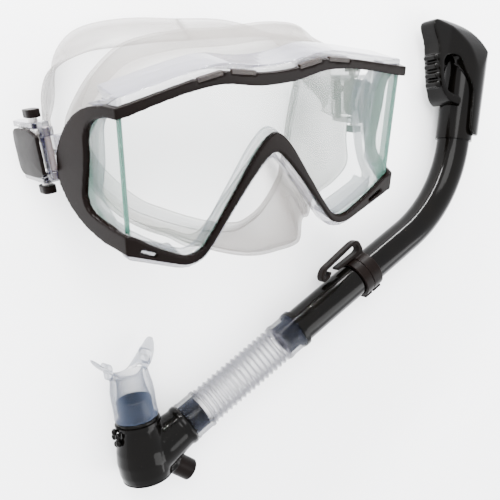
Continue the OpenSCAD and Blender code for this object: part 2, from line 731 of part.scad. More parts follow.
// The hood over the seat, with the rail that guards the intake.
module splash_hood() {
    s = top_l / 80;
    h = hood_reach / 40;
    r = top_d / 2;
    d = r / 16.5;
    hood = [[4 * s, -13.6 * d], [20 * s, -14.2 * d], [34 * s, 0.9 - r], [54 * s, 0.9 - r], [63 * s, -11 * d],
        [71 * s, -5], [77.5 * s, 4], [80 * s, 16 * h], [80 * s, 28 * h], [78 * s, 38.5 * h],
        [74 * s, 40 * h], [69 * s, 37.5 * h], [63 * s, 33.5 * h], [51 * s, 31 * h], [44 * s, 29 * h],
        [36 * s, 27 * h], [31 * s, 24.5 * h], [25 * s, 20 * h], [22.5 * s, chamber_r - 2.4],
        [28.5 * s, chamber_r - 2.4], [31 * s, 20.5 * h], [36 * s, 23.5 * h], [44 * s, 25.5 * h],
        [52 * s, 27 * h], [57 * s, 23 * h], [57 * s, 15], [50 * s, 12], [36 * s, 3], [4 * s, 1]];
    color(black_pc) dry_top_pose() difference() {
        union() {
            intersection() {
                translate([0, 0, -r]) linear_extrude(2 * r) polygon(rounded(hood, 5));
                rotate([0, 90, 0]) linear_extrude(top_l + 4) union() {
                    circle(r);
                    polygon([[-r * 0.93, 5], [-8.5, 24 * h], [-6.5, 44 * h], [6.5, 44 * h],
                        [8.5, 24 * h], [r * 0.93, 5]]);
                }
                rotate([90, 0, 0]) linear_extrude(160, center = true)
                    polygon(rounded([[0, -r], [54 * s, -r], [66 * s, -r * 0.82], [75 * s, -r * 0.55],
                        [81 * s, -r * 0.25], [81 * s, r * 0.25], [75 * s, r * 0.55], [66 * s, r * 0.82],
                        [54 * s, r], [0, r]], 6));
            }
            for (i = [0 : 3]) translate([(35 + 6 * i) * s, (27 + 1.6 * i) * h, -6])
                cylinder(r = 1.6, h = 12);
        }
        along_x(-5, seat_x + chamber_wall) circle(chamber_r + fit);
        // The air way from the intake to the seat, under the hood.
        translate([seat_x + chamber_wall - 1, -7, -6]) cube([top_l - seat_x - 9, 14, 12]);
        translate([53 * s, 0, -4.5]) cube([8 * s, 28 * h, 9]);
    }
}

// ---------- lower chamber and mouthpiece ----------

neck_r = port_d / 2 + 2.2;
neck_t = 26;
port_t = 37.5;
base_t = -10;
wall = 2;
bulge_r = chamber_d / 2;
// Where the outlet leaves the chamber and which way it runs.
outlet_turn = -66;
outlet_from = [9, -8];
outlet_l = 20;
outlet_root = 8;

module hub_pose() {
    snorkel_pose() translate([hub, 0, 0]) children();
}

// z runs up the port, y to its side in the plane of the snorkel.
module port_pose() {
    hub_pose() rotate(port_angle) rotate([0, 90, 0]) children();
}

module outlet_pose() {
    hub_pose() translate(outlet_from) rotate(outlet_turn) children();
}

module lower_chamber() {
    color(black_pc) difference() {
        union() {
            port_pose() rotate_extrude() polygon([[0, base_t], [bulge_r - 1.4, base_t],
                [bulge_r - 0.5, -6], [bulge_r, 1], [bulge_r - 0.8, 8], [neck_r + 0.8, 16],
                [neck_r, 20], [neck_r, neck_t], [port_d / 2, neck_t], [port_d / 2, port_t],
                [0, port_t]]);
            hub_pose() along_x(0, arm_l) circle(barrel_r);
            hub_pose() along_x(arm_l - eps, arm_l + cuff_l - 2) circle(spigot_r);
            outlet_pose() along_x(0, outlet_root) circle(outlet_d / 2 + 0.6);
        }
        port_pose() rotate_extrude() polygon([[0, base_t - 1], [bulge_r - wall - 1.4, base_t - 1],
            [bulge_r - wall - 0.5, -6], [bulge_r - wall, 1], [bulge_r - wall - 0.8, 8],
            [port_d / 2 - wall, 18], [port_d / 2 - wall, port_t + 1], [0, port_t + 1]]);
        hub_pose() along_x(0, arm_l + cuff_l) circle(spigot_r - 1.6);
        outlet_pose() along_x(0, outlet_root + 1) circle(outlet_bore / 2 - 1.4);
        outlet_pose() along_x(outlet_root - 3, outlet_root + 1) circle(outlet_d / 2 + fit - 0.8);
    }
}

module chamber_cap() {
    r = bulge_r - 1.4;
    color(black_pc) difference() {
        port_pose() translate([0, 0, base_t]) rotate_extrude()
            polygon([[0, -2.5], [r - 3, -2.5], [r, -0.6], [r, -0.01], [r - wall - fit, -0.01],
                [r - wall - fit, 2], [r - 2 * wall, 2], [r - 2 * wall, -0.5], [0, -0.5]]);
        outlet_pose() along_x(0, outlet_l) circle(outlet_d / 2 + 0.6 + fit);
    }
}

module purge_outlet() {
    color(black_pc) outlet_pose() difference() {
        union() {
            along_x(outlet_root - 3, outlet_root + 0.01) circle(outlet_d / 2 - 0.8);
            along_x(outlet_root + 0.01, outlet_l) circle(outlet_d / 2);
        }
        along_x(outlet_root - 4, outlet_l + 1) circle(outlet_bore / 2);
        along_x(outlet_root - 4, outlet_root - 0.3) circle(outlet_bore / 2 + 0.3);
    }
}

module purge_valve() {
    color(silicone) outlet_pose() along_x(outlet_root - 2.95, outlet_root - 1.95)
        circle(outlet_bore / 2 + 0.1);
}

module port_ring() {
    color(black_pc) port_pose() translate([0, 0, neck_t - 4]) difference() {
        cylinder(r = neck_r + 1, h = 2);
        translate([0, 0, -1]) cylinder(r = neck_r + 0.02, h = 4);
    }
}

module mouthpiece() {
    top = neck_t + 26;
    curve = bite_w * 0.505;
    color(silicone) port_pose() rotate(bite_turn) difference() {
        union() {
            translate([0, 0, neck_t + 0.3]) cylinder(r = port_d / 2 + 2.6, h = port_t - neck_t);
            hull() {
                translate([0, 0, port_t]) cylinder(r = port_d / 2 + 2.4, h = 1, $fn = 32);
                translate([0, 0, top]) scale([0.8, 1.2, 1]) cylinder(r = bite_h / 2 - 1, h = 1, $fn = 32);
            }
            intersection() {
                translate([0, 0, top + curve]) rotate([0, 90, 0]) difference() {
                    cylinder(r = curve + 0.5, h = bite_h, center = true);
                    cylinder(r = curve - 1.5, h = bite_h + 2, center = true);
                }
                translate([-bite_h / 2, -bite_w / 2, top - 2]) cube([bite_h, bite_w, 20]);
            }
            for (s = [-1, 1]) translate([-4, s * 15 - 1.5, top + 3]) cube([8, 3, 8]);
        }
        translate([0, 0, neck_t - 1]) cylinder(r = port_d / 2 + run_gap, h = port_t - neck_t + 1.3);
        hull() {
            translate([0, 0, port_t]) cylinder(r = port_d / 2 - 0.5, h = 1, $fn = 32);
            translate([0, 0, top + 3]) scale([0.55, 1, 1]) cylinder(r = bite_h / 2 - 3, h = 1, $fn = 32);
        }
    }
}

// ---------- nodes ----------

mask_pose() frame_body();
mask_pose() bezel();
mask_pose() front_lens();
mask_pose() side_lens(-1);  // side_lens_left
mask_pose() side_lens(1);  // side_lens_right
mask_pose() skirt();
strap();
pivot_pin(-1);  // pivot_pin_left
pivot_pin(1);  // pivot_pin_right
buckle(-1);  // buckle_left
buckle(1);  // buckle_right
buckle_cover(-1);  // buckle_cover_left
buckle_cover(1);  // buckle_cover_right
strap_roller(-1);  // strap_roller_left
strap_roller(1);  // strap_roller_right
pinch_button(-1, 1);  // upper_button_left
pinch_button(-1, -1);  // lower_button_left
pinch_button(1, 1);  // upper_button_right
pinch_button(1, -1);  // lower_button_right
button_springs(-1);  // button_springs_left
button_springs(1);  // button_springs_right
barrel();
hose_flange();
dry_top_housing();
splash_hood();
float_valve();
valve_seal();
float_pin();
keeper_ring();
keeper_clip();
flex_hose();
upper_cuff();
lower_cuff();
lower_chamber();
chamber_cap();
purge_outlet();
purge_valve();
mouthpiece();
port_ring();
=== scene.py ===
import json
import math

import bmesh
import bpy
import numpy as np
from mathutils import Matrix, Vector

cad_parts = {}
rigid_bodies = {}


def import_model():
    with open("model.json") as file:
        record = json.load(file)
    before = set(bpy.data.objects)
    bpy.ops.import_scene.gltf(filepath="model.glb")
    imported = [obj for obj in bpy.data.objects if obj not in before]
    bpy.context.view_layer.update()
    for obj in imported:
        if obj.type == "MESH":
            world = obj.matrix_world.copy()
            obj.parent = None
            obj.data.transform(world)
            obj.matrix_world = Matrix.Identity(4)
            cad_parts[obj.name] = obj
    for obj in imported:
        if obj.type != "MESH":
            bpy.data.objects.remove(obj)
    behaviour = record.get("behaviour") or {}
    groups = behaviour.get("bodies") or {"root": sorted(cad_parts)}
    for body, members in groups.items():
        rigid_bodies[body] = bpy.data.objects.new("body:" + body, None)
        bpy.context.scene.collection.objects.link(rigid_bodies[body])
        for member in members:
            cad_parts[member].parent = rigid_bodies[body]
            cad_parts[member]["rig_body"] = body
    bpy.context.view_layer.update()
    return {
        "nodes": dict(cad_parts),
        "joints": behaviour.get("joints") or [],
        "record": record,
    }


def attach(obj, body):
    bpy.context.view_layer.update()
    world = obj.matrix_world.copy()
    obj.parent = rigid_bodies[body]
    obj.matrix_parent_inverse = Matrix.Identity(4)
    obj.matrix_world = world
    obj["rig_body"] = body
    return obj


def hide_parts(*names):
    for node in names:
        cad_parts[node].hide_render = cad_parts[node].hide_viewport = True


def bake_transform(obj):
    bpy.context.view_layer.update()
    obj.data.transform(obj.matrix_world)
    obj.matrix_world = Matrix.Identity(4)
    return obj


# A three-pane dive mask and a dry-top snorkel on a pale table.
# Lengths in this file are millimetres until place() turns them into the metres of the frame.

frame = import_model()
nodes = frame["nodes"]
joints = {j["name"]: j for j in frame["joints"]}
mounts = {m["name"]: m for m in frame["record"]["mounts"]}
MM = 0.001


# ---------- frames of the two things ----------

def vec(values):
    return np.array(values, float)


def unit(v):
    return v / np.linalg.norm(v)


def joint_at(name):
    return vec(joints[name]["pos_m"]) / MM


def joint_axis(name):
    return unit(vec(joints[name]["axis"]))


class Pose:
    """A right-handed or mirrored frame: an origin and three directions."""

    def __init__(self, origin, x, y, z):
        self.origin, self.axes = vec(origin), np.array([x, y, z], float)

    def put(self, points):
        return np.atleast_2d(points) @ self.axes + self.origin

    def turn(self, points):
        return np.atleast_2d(points) @ self.axes


SEAL_DEPTH = 70
mask_out = -unit(vec(mounts["face_seal"]["axis"]))
mask_pose = Pose(
    vec(mounts["face_seal"]["pos_m"]) / MM + SEAL_DEPTH * mask_out,
    (1, 0, 0), np.cross(mask_out, (1, 0, 0)), mask_out)

barrel_way = joint_axis("keeper_turn")
snorkel_pose = Pose(
    joint_at("keeper_turn"), barrel_way, np.cross((0, 0, 1), barrel_way), (0, 0, 1))
port_way = joint_axis("mouthpiece_swivel")
port_pose = Pose(
    joint_at("mouthpiece_swivel"), (0, 0, -1), np.cross(port_way, (0, 0, -1)), port_way)


def buckle_pose(side):
    """x back from the swivel pin to the roller, y up along the pin, z away from the head."""
    pin, roller = joint_at("buckle_swivel_" + side), joint_at("roller_turn_" + side)
    x, y = unit(roller - pin), joint_axis("roller_turn_" + side)
    if y[1] < 0:
        y = -y
    z = np.cross(x, y)
    away = -1 if side == "left" else 1
    return Pose(pin, x, y, z if z[0] * away > 0 else -z)


# ---------- camera ----------

CAMERA_BACK = (-0.4645, 0.2047, 0.8616)
CAMERA_UP = (0.2393, 0.9657, -0.1005)
CAMERA_RIGHT = (0.8526, -0.1595, 0.4975)
CAMERA_FROM_MASK = (-169.9, 25.2, 277.04)

camera = bpy.data.objects.new("camera", bpy.data.cameras.new("camera"))
bpy.context.scene.collection.objects.link(camera)
spot = mask_pose.origin + vec(CAMERA_FROM_MASK)
turn = Matrix((CAMERA_RIGHT, CAMERA_UP, CAMERA_BACK)).transposed()
camera.matrix_world = Matrix.Translation(Vector(spot * MM)) @ turn.to_4x4()
camera.data.sensor_width = 36
camera.data.lens = 46.8
camera.data.clip_start = 0.01
camera.data.clip_end = 20
bpy.context.scene.camera = camera


# ---------- materials ----------

def linear(hex_code):
    """An sRGB hex colour as linear red, green, blue and alpha."""
    parts = [int(hex_code[i:i + 2], 16) / 255 for i in (1, 3, 5)]
    return (*[p / 12.92 if p <= 0.04045 else ((p + 0.055) / 1.055) ** 2.4 for p in parts], 1)


def per_mm(size):
    """Texture scale for a pattern whose features are this many millimetres across."""
    return 1 / (size * MM)


def add(tree, kind, settings, links=None):
    """Adds a node, sets its sockets and properties, and links its inputs to other nodes."""
    node = tree.nodes.new(kind)
    for name, value in settings.items():
        if isinstance(name, int) or name in node.inputs:
            node.inputs[name].default_value = value
        else:
            setattr(node, name, value)
    for name, (source, output) in (links or {}).items():
        tree.links.new(source.outputs[output], node.inputs[name])
    return node


def moulded(name, light, dark, patch, rough, grain, grain_depth, settings, see_through=None):
    """A moulded surface: two close tones in patches, a roughness that wanders, a fine grain.

    see_through is (opacity face on, opacity edge on, how early the edge begins)."""
    material = bpy.data.materials.new(name)
    material.use_nodes = True
    tree = material.node_tree
    tree.nodes.clear()
    place_in = add(tree, "ShaderNodeTexCoord", {})
    patches = add(tree, "ShaderNodeTexNoise", {"Scale": per_mm(patch), "Detail": 3.0},
                  {"Vector": (place_in, "Object")})
    fine = add(tree, "ShaderNodeTexNoise", {"Scale": per_mm(grain), "Detail": 2.0},
               {"Vector": (place_in, "Object")})
    tone = add(tree, "ShaderNodeMix", {"data_type": "RGBA", 6: linear(light), 7: linear(dark)},
               {0: (patches, "Fac")})
    gloss = add(tree, "ShaderNodeMapRange",
                {"To Min": rough * 0.8, "To Max": min(1.0, rough * 1.25)}, {0: (patches, "Fac")})
    relief = add(tree, "ShaderNodeBump", {"Strength": 1.0, "Distance": grain_depth * MM},
                 {"Height": (fine, "Fac")})
    shader = add(tree, "ShaderNodeBsdfPrincipled", settings,
                 {"Base Color": (tone, 2), "Roughness": (gloss, 0), "Normal": (relief, "Normal")})
    if see_through:
        edge = add(tree, "ShaderNodeLayerWeight", {"Blend": see_through[2]})
        density = add(tree, "ShaderNodeMapRange",
                      {"To Min": see_through[0], "To Max": see_through[1]}, {0: (edge, "Facing")})
        tree.links.new(density.outputs[0], shader.inputs["Alpha"])
    add(tree, "ShaderNodeOutputMaterial", {}, {"Surface": (shader, "BSDF")})
    return material


# Polycarbonate, injection moulded and polished: nearly clear, lavender where it is seen edge on.
polycarbonate = moulded("polycarbonate_clear_moulded", "#2c2a42", "#1b1930", 14, 0.10, 2.5, 0.02,
                        {"IOR": 1.585, "Coat Weight": 0.4, "Coat Roughness": 0.04},
                        (0.12, 0.90, 0.55))
# The same plastic in thick lugs, where light is lost on the way through: greyer and more violet.
thick_polycarbonate = moulded("polycarbonate_clear_thick", "#232037", "#0c0a14", 3, 0.12, 1.5, 0.03,
                              {"IOR": 1.585, "Coat Weight": 0.5, "Coat Roughness": 0.04},
                              (0.30, 0.95, 0.5))
# ABS with a spark-eroded satin skin: warm near-black, a soft broad highlight. Grain drawn coarse.
satin_abs = moulded("abs_black_satin_moulded", "#0b0604", "#040202", 9, 0.38, 0.6, 0.012,
                    {"IOR": 1.54, "Specular IOR Level": 0.035})
# The same plastic half polished, brown where the light gets a little way in: the bezel.
bezel_abs = moulded("abs_black_bezel", "#0b0503", "#030101", 28, 0.24, 4.0, 0.02,
                    {"IOR": 1.54, "Specular IOR Level": 0.04})
# ABS from a polished tool: deep black, sharp long highlights, a faint orange peel.
gloss_abs = moulded("abs_black_polished", "#050403", "#020202", 18, 0.12, 5.0, 0.03,
                    {"IOR": 1.54, "Specular IOR Level": 0.055})
# Soda-lime glass, tempered: colourless on its face, and the cut edge glows green.
glass_face = moulded("glass_tempered_face", "#6d867d", "#5f776e", 30, 0.04, 12.0, 0.004,
                     {"IOR": 1.52, "Specular IOR Level": 0.35}, (0.04, 0.5, 0.35))
glass_edge = moulded("glass_tempered_ground_edge", "#346757", "#1d463a", 3, 0.30, 0.5, 0.02,
                     {"IOR": 1.52}, (0.62, 0.9, 0.35))
# Clear sealant between the panes, tinted by the glass edges on both sides.
sealant = moulded("silicone_sealant_bead", "#3f7464", "#245044", 4, 0.25, 0.9, 0.02,
                  {"IOR": 1.41}, (0.7, 0.9, 0.35))
# Liquid silicone rubber with a matte tool finish: frosted, milky and a little warm.
frosted_silicone = moulded("silicone_rubber_frosted", "#625c56", "#4f4a45", 16, 0.42, 0.8, 0.02,
                           {"IOR": 1.41, "Sheen Weight": 0.15, "Sheen Roughness": 0.4},
                           (0.15, 0.75, 0.45))
# The same rubber as a smooth flat band.
strap_silicone = moulded("silicone_rubber_strap", "#6b6662", "#5a5552", 20, 0.30, 1.2, 0.02,
                         {"IOR": 1.41, "Sheen Weight": 0.15}, (0.17, 0.80, 0.45))
# Flexible PVC blown into corrugations: clear, glossy on each crest.
hose_pvc = moulded("pvc_flexible_clear", "#50505a", "#30303a", 6, 0.14, 1.5, 0.02,
                   {"IOR": 1.53, "Coat Weight": 0.3}, (0.12, 0.92, 0.5))
# Thin clear PVC over the black spigots at both ends of the hose.
cuff_pvc = moulded("pvc_flexible_cuff", "#2c303c", "#14161d", 3, 0.12, 1.5, 0.03,
                   {"IOR": 1.53, "Specular IOR Level": 0.12}, (0.08, 0.80, 0.5))
# Silicone rubber with a blue-grey tint, polished: the bite.
bite_silicone = moulded("silicone_rubber_bite", "#424a5b", "#2c3444", 7, 0.20, 1.5, 0.02,
                        {"IOR": 1.41, "Specular IOR Level": 0.2}, (0.10, 0.85, 0.5))
# Acetal, turned: grey-brown with a dull shine.
acetal = moulded("acetal_turned", "#7c706e", "#635957", 4, 0.38, 0.4, 0.02, {"IOR": 1.48})
# Stainless steel, drawn: fine marks round the bar.
steel = moulded("stainless_steel_drawn", "#b9b7b4", "#9c9a98", 2, 0.28, 0.3, 0.01,
                {"Metallic": 1.0})
# Closed-cell foam: pale, matte, with pores.
float_foam = moulded("foam_closed_cell", "#dedbd4", "#c9c5bd", 1.5, 0.8, 0.5, 0.1, {"IOR": 1.3})
# Smoky brown polycarbonate in the brow.
brow_tint = moulded("polycarbonate_brown_tint", "#1d110b", "#120a06", 5, 0.3, 1.5, 0.01,
                    {"IOR": 1.585, "Specular IOR Level": 0.15}, (0.85, 0.97, 0.35))

FINISHES = {
    "clear_polycarbonate": polycarbonate,
    "tempered_glass": glass_face,
    "clear_silicone": frosted_silicone,
    "stainless_steel": steel,
    "grey_acetal": acetal,
    "float_foam": float_foam,
    "satin_black_plastic": satin_abs,
    "gloss_black_plastic": gloss_abs,
}
for part in frame["record"]["subparts"]:
    mesh = nodes[part["node"]].data
    mesh.materials.clear()
    mesh.materials.append(FINISHES[part["material_slot"]])
nodes["bezel"].data.materials[0] = bezel_abs
for name in ("buckle_left", "buckle_right"):
    nodes[name].data.materials[0] = thick_polycarbonate
for name in ("upper_cuff", "lower_cuff"):
    nodes[name].data.materials[0] = cuff_pvc


def paint_glass(name, faces_way):
    """The polished faces stay clear and the ground edges get their green."""
    mesh = nodes[name].data
    mesh.materials.append(glass_edge)
    for polygon in mesh.polygons:
        flat = abs(polygon.normal.dot(Vector(faces_way)))
        polygon.material_index = 0 if flat > 0.9 else 1


# ---------- mesh tools ----------

def through(points, steps, closed=False):
    """A smooth curve through the points, which may carry any number of values each."""
    p = np.array(points, float)
    if closed:
        p = np.vstack([p[-1:], p, p[:2]])
    else:
        p = np.vstack([2 * p[0] - p[1], p, 2 * p[-1] - p[-2]])
    out = []
    for a, b, c, d in zip(p[:-3], p[1:-2], p[2:-1], p[3:]):
        for s in np.arange(steps) / steps:
            out.append(0.5 * (2 * b + (c - a) * s + (2 * a - 5 * b + 4 * c - d) * s ** 2
                              + (3 * b - a - 3 * c + d) * s ** 3))
    if not closed:
        out.append(p[-2])
    return np.array(out)


def place(name, points, faces, material):
    """A smooth mesh in the scene, its points given in millimetres."""
    mesh = bpy.data.meshes.new(name)
    mesh.from_pydata([tuple(p) for p in np.array(points) * MM], [], faces)
    mesh.validate()
    tidy = bmesh.new()
    tidy.from_mesh(mesh)
    bmesh.ops.recalc_face_normals(tidy, faces=tidy.faces)
    tidy.to_mesh(mesh)
    tidy.free()
    mesh.shade_smooth()
    mesh.materials.append(material)
    piece = bpy.data.objects.new(name, mesh)
    bpy.context.scene.collection.objects.link(piece)
    return piece


def lattice(rows, columns, round_rows=False, round_columns=True, start=0):
    """Quads between rows of points; each way may close on itself."""
    faces = []
    for r in range(rows if round_rows else rows - 1):
        for c in range(columns if round_columns else columns - 1):
            r2, c2 = (r + 1) % rows, (c + 1) % columns
            faces.append([start + r * columns + c, start + r * columns + c2,
                          start + r2 * columns + c2, start + r2 * columns + c])
    return faces


def settle(piece):
    """The piece keeps the mesh that its modifiers make."""
    graph = bpy.context.evaluated_depsgraph_get()
    mesh = bpy.data.meshes.new_from_object(piece.evaluated_get(graph))
    piece.modifiers.clear()
    piece.data = mesh
    mesh.shade_smooth()


def dress(piece, material):
    """The piece wears this material and no other."""
    piece.data.materials.clear()
    piece.data.materials.append(material)


def take_in(piece, extras):
    """The extras become part of the piece's mesh."""
    with bpy.context.temp_override(active_object=piece,
                                   selected_editable_objects=[piece, *extras]):
        bpy.ops.object.join()


def soften(piece, voxel, rounds):
    """Joins what overlaps and rounds the edges, as a mould would."""
    grid = piece.modifiers.new("grid", "REMESH")
    grid.mode = "VOXEL"
    grid.voxel_size = voxel * MM
    grid.use_smooth_shade = True
    ease = piece.modifiers.new("ease", "SMOOTH")
    ease.factor = 0.5
    ease.iterations = rounds
    settle(piece)


def soften_node(node, voxel, rounds, extra=()):
    """A piece that stands for a CAD node, its edges rounded and extra pieces moulded in."""
    source = nodes[node]
    mesh = source.data.copy()
    weld = bmesh.new()
    weld.from_mesh(mesh)
    bmesh.ops.remove_doubles(weld, verts=weld.verts, dist=0.00001)
    weld.to_mesh(mesh)
    weld.free()
    piece = bpy.data.objects.new(node + "_moulding", mesh)
    bpy.context.scene.collection.objects.link(piece)
    if extra:
        take_in(piece, extra)
    soften(piece, voxel, rounds)
    dress(piece, source.data.materials[0])
    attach(piece, source["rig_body"])
    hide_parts(node)
    return piece


def turned(name, profile, way, material, count=96):
    """A closed turned piece: profile is (radius, distance along way) all round its section."""
    angles = np.arange(count) * 2 * math.pi / count
    points = []
    for radius, along in profile:
        ring = np.c_[np.full(count, along), radius * np.cos(angles), radius * np.sin(angles)]
        points.append(way.put(ring))
    return place(name, np.vstack(points), lattice(len(profile), count, round_rows=True), material)


# ---------- mask: glass and brow ----------

SIDE_TURN = math.radians(70)
side_face = (math.sin(SIDE_TURN), 0, math.cos(SIDE_TURN))
paint_glass("front_lens", mask_pose.turn([0, 0, 1])[0])
paint_glass("side_lens_right", mask_pose.turn(side_face)[0])
paint_glass("side_lens_left", mask_pose.turn([-side_face[0], 0, side_face[2]])[0])

for node in ("bezel", "frame_body"):
    soften_node(node, 0.55, 4)

PANE_HALF_W = 78
for side, sx in (("left", -1), ("right", 1)):
    line = np.array([[sx * (PANE_HALF_W - 0.4), y, -1.2] for y in np.linspace(-21, 35, 12)])
    around = [(1.1 * math.cos(a), 1.1 * math.sin(a)) for a in np.arange(10) * math.pi / 5]
    points = np.vstack([p + np.array([[dx, 0, dz] for dx, dz in around]) for p in line])
    ends = [list(range(10)), list(range(len(points) - 10, len(points)))]
    bead = place("glass_joint_" + side, mask_pose.put(points), lattice(12, 10) + ends, sealant)
    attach(bead, "mask")

for index, (sx, part) in enumerate(((-1, -1), (-1, 1), (1, -1), (1, 1))):
    lean = math.radians(-9 * sx if part * sx > 0 else 9 * sx)
    corners = np.array([[x, y, z] for x in (-6.3, 6.3) for y in (-1, 1) for z in (0.3, 2.5)])
    spin = np.array([[math.cos(lean), math.sin(lean), 0], [-math.sin(lean), math.cos(lean), 0],
                     [0, 0, 1]])
    window = place("brow_window_%d" % (index + 1),
                   mask_pose.put(corners @ spin + vec([sx * 27 + part * 8.5, 46.4, 0])),
                   [[0, 1, 3, 2], [4, 6, 7, 5], [0, 4, 5, 1], [2, 3, 7, 6], [0, 2, 6, 4],
                    [1, 5, 7, 3]], brow_tint)
    window.data.shade_flat()
    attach(window, "mask")


# ---------- mask: skirt ----------

# Right halves from the forehead round to the lip, front to back.
SKIRT_HALVES = [
    [[0, 41, -24.2], [27, 44, -24.2], [58, 39, -24.2], [74, 33, -26], [80, 18, -37], [83, 3, -42],
     [79, -12, -38], [72, -24, -27], [60, -33, -24.4], [48, -38, -24.6], [36, -38.5, -15],
     [21.5, -19.5, -9.8], [9, -3.5, -8], [0, 5, -7.8]],
    [[0, 44, -27], [27, 46.5, -27.5], [56, 42, -29], [73, 34.5, -33], [80.5, 18.5, -44],
     [83.5, 3, -49], [79.5, -13, -45], [71.5, -26, -35], [59.5, -36, -30], [47, -43, -27],
     [35.5, -45.5, -15], [18.5, -22, -10.2], [7.5, -8, -8.8], [0, -2, -8.6]],
    [[0, 49, -31], [27, 50, -32], [53, 46, -36], [71, 36, -43], [80, 19, -52], [83, 3, -57],
     [79, -14, -54], [70, -28, -45], [58, -39, -38], [45, -44, -32], [34, -46, -17], [21, -42, -1],
     [11, -38, 8], [0, -36, 10]],
    [[0, 54, -42], [27, 54, -43], [53, 48, -48], [69, 37, -56], [77, 20, -67], [80, 3, -73],
     [76, -15, -71], [68, -31, -61], [56, -42, -50], [44, -47, -42], [33, -50, -25], [22, -50, -7],
     [12, -49, 3], [0, -48, 6]],
    [[0, 56, -50], [27, 56.5, -51], [51, 52, -56], [64, 41, -63], [72, 23, -77], [77, 4, -86],
     [72, -16, -84], [63, -31, -75], [52, -42, -65], [41, -47, -56], [30, -51, -48],
     [20, -54, -42], [10, -56, -38], [0, -57, -36]],
]
SEAL_LIP = 9
SKIRT_WALL = 1.8


def whole_ring(half):
    return half + [[-x, y, z] for x, y, z in half[-2:0:-1]]


def pulled_in(ring, inwards, forwards):
    """The ring moved towards the face opening."""
    ahead, behind = np.roll(ring, -1, 0), np.roll(ring, 1, 0)
    run = (ahead - behind)[:, :2]
    run /= np.linalg.norm(run, axis=1)[:, None]
    return ring + np.c_[run[:, 1] * inwards, -run[:, 0] * inwards, np.full(len(ring), forwards)]


rings = [through(whole_ring(half), 6, closed=True) for half in SKIRT_HALVES]
rings += [pulled_in(rings[-1], SEAL_LIP * 0.5, 1.0), pulled_in(rings[-1], SEAL_LIP, 3.2)]
count = len(rings[0])
wall = through(np.array(rings).reshape(len(rings), -1), 5).reshape(-1, count, 3)
skirt = place("face_skirt", mask_pose.put(wall.reshape(-1, 3)), lattice(len(wall), count),
              frosted_silicone)
shell = skirt.modifiers.new("wall", "SOLIDIFY")
shell.thickness = SKIRT_WALL * MM
shell.offset = -1
settle(skirt)
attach(skirt, "mask")
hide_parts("skirt")


# ---------- mask: strap and buckles ----------

STRAP_W = 22
STRAP_T = 2.2
CHANNEL = 0.35
ROLL = 3.6
BUCKLE_L = 28
TURN = ([[10, 0, ROLL], [20, 0, ROLL]]
        + [[BUCKLE_L + ROLL * math.cos(math.radians(a)), 0, ROLL * math.sin(math.radians(a))]
           for a in np.arange(90, -91, -22.5)] + [[BUCKLE_L - 7, 0, -ROLL - 4]])
# The loop on the table, measured from the mask: where the band is and which way its width lies.
LOOP = [
    [-89.5, 35, 14, 0.1, 0.7, 0.7], [-87, 41, 12.3, -0.2, 0.4, 0.87],
    [-84, 49, 11.4, -0.4, 0.2, 0.88], [-80, 59, 11.2, -0.4, -0.1, 0.9],
    [-72, 68.5, 11.2, -0.2, -0.4, 0.87], [-60, 75.5, 10.8, 0, -0.6, 0.78],
    [-45, 78, 10, 0.06, -0.7, 0.68], [-24, 78.5, 10, 0.1, -0.7, 0.68],
    [0, 77, 10.3, 0.1, -0.65, 0.75], [25, 75.5, 11, 0, -0.6, 0.8],
    [47, 72, 11.3, -0.05, -0.4, 0.9], [66, 66, 11.2, 0.3, -0.2, 0.9],
    [78, 57.5, 11.2, 0.4, 0, 0.9], [84, 49, 11.4, 0.4, 0.2, 0.88],
    [87, 41, 12.3, 0.2, 0.4, 0.87], [89.5, 35, 14, -0.1, 0.7, 0.7]]
MIDDLE = 8
ground = mask_pose.origin * (1, 1, 0)


def strap_half(side):
    buckle = buckle_pose(side)
    ends = np.c_[buckle.put(TURN), np.repeat(buckle.turn([0, 1, 0]), len(TURN), 0)]
    loop = np.array(LOOP[:MIDDLE + 1] if side == "left" else LOOP[:MIDDLE - 1:-1], float)
    loop[:, :3] += ground
    loop[:, 3:] /= np.linalg.norm(loop[:, 3:], axis=1)[:, None]
    path = through(np.vstack([ends, loop]), 4)
    along = np.gradient(path[:, :3], axis=0)
    along /= np.linalg.norm(along, axis=1)[:, None]
    across = path[:, 3:] - along * (path[:, 3:] * along).sum(1)[:, None]
    across /= np.linalg.norm(across, axis=1)[:, None]
    up = np.cross(along, across)
    w, t = STRAP_W / 2, STRAP_T / 2
    # A flat band with a round edge on each side and a shallow channel down its face.
    bed = t - CHANNEL
    section = [(-w + 0.3, -0.6 * t), (-w + 1.3, -t), (0, -t), (w - 1.3, -t),
               (w - 0.3, -0.6 * t), (w, 0), (w - 0.3, 0.6 * t), (w - 1.3, t),
               (w - 3.5, t), (w - 4.2, bed), (0, bed), (-w + 4.2, bed),
               (-w + 3.5, t), (-w + 1.3, t), (-w + 0.3, 0.6 * t), (-w, 0)]
    n = len(section)
    points = np.vstack([p[:3] + np.array([a * b[0] + u * b[1] for b in section])
                        for p, a, u in zip(path, across, up)])
    caps = [list(range(n)), list(range(len(points) - n, len(points)))[::-1]]
    half = place("strap_" + side, points, lattice(len(path), n) + caps, strap_silicone)
    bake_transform(half)
    return half


strap_left, strap_right = strap_half("left"), strap_half("right")
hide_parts("strap")
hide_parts("strap")

# The plate over the roller: a crowned panel from beside the pin to past the roller.
PLATE_OUTLINE = [(-2.5, 9), (6, 11.3), (18, 11.7), (26, 11.2), (29, 7.5), (29.4, 0)]
PLATE_Z = 5
PLATE_T = 1.8


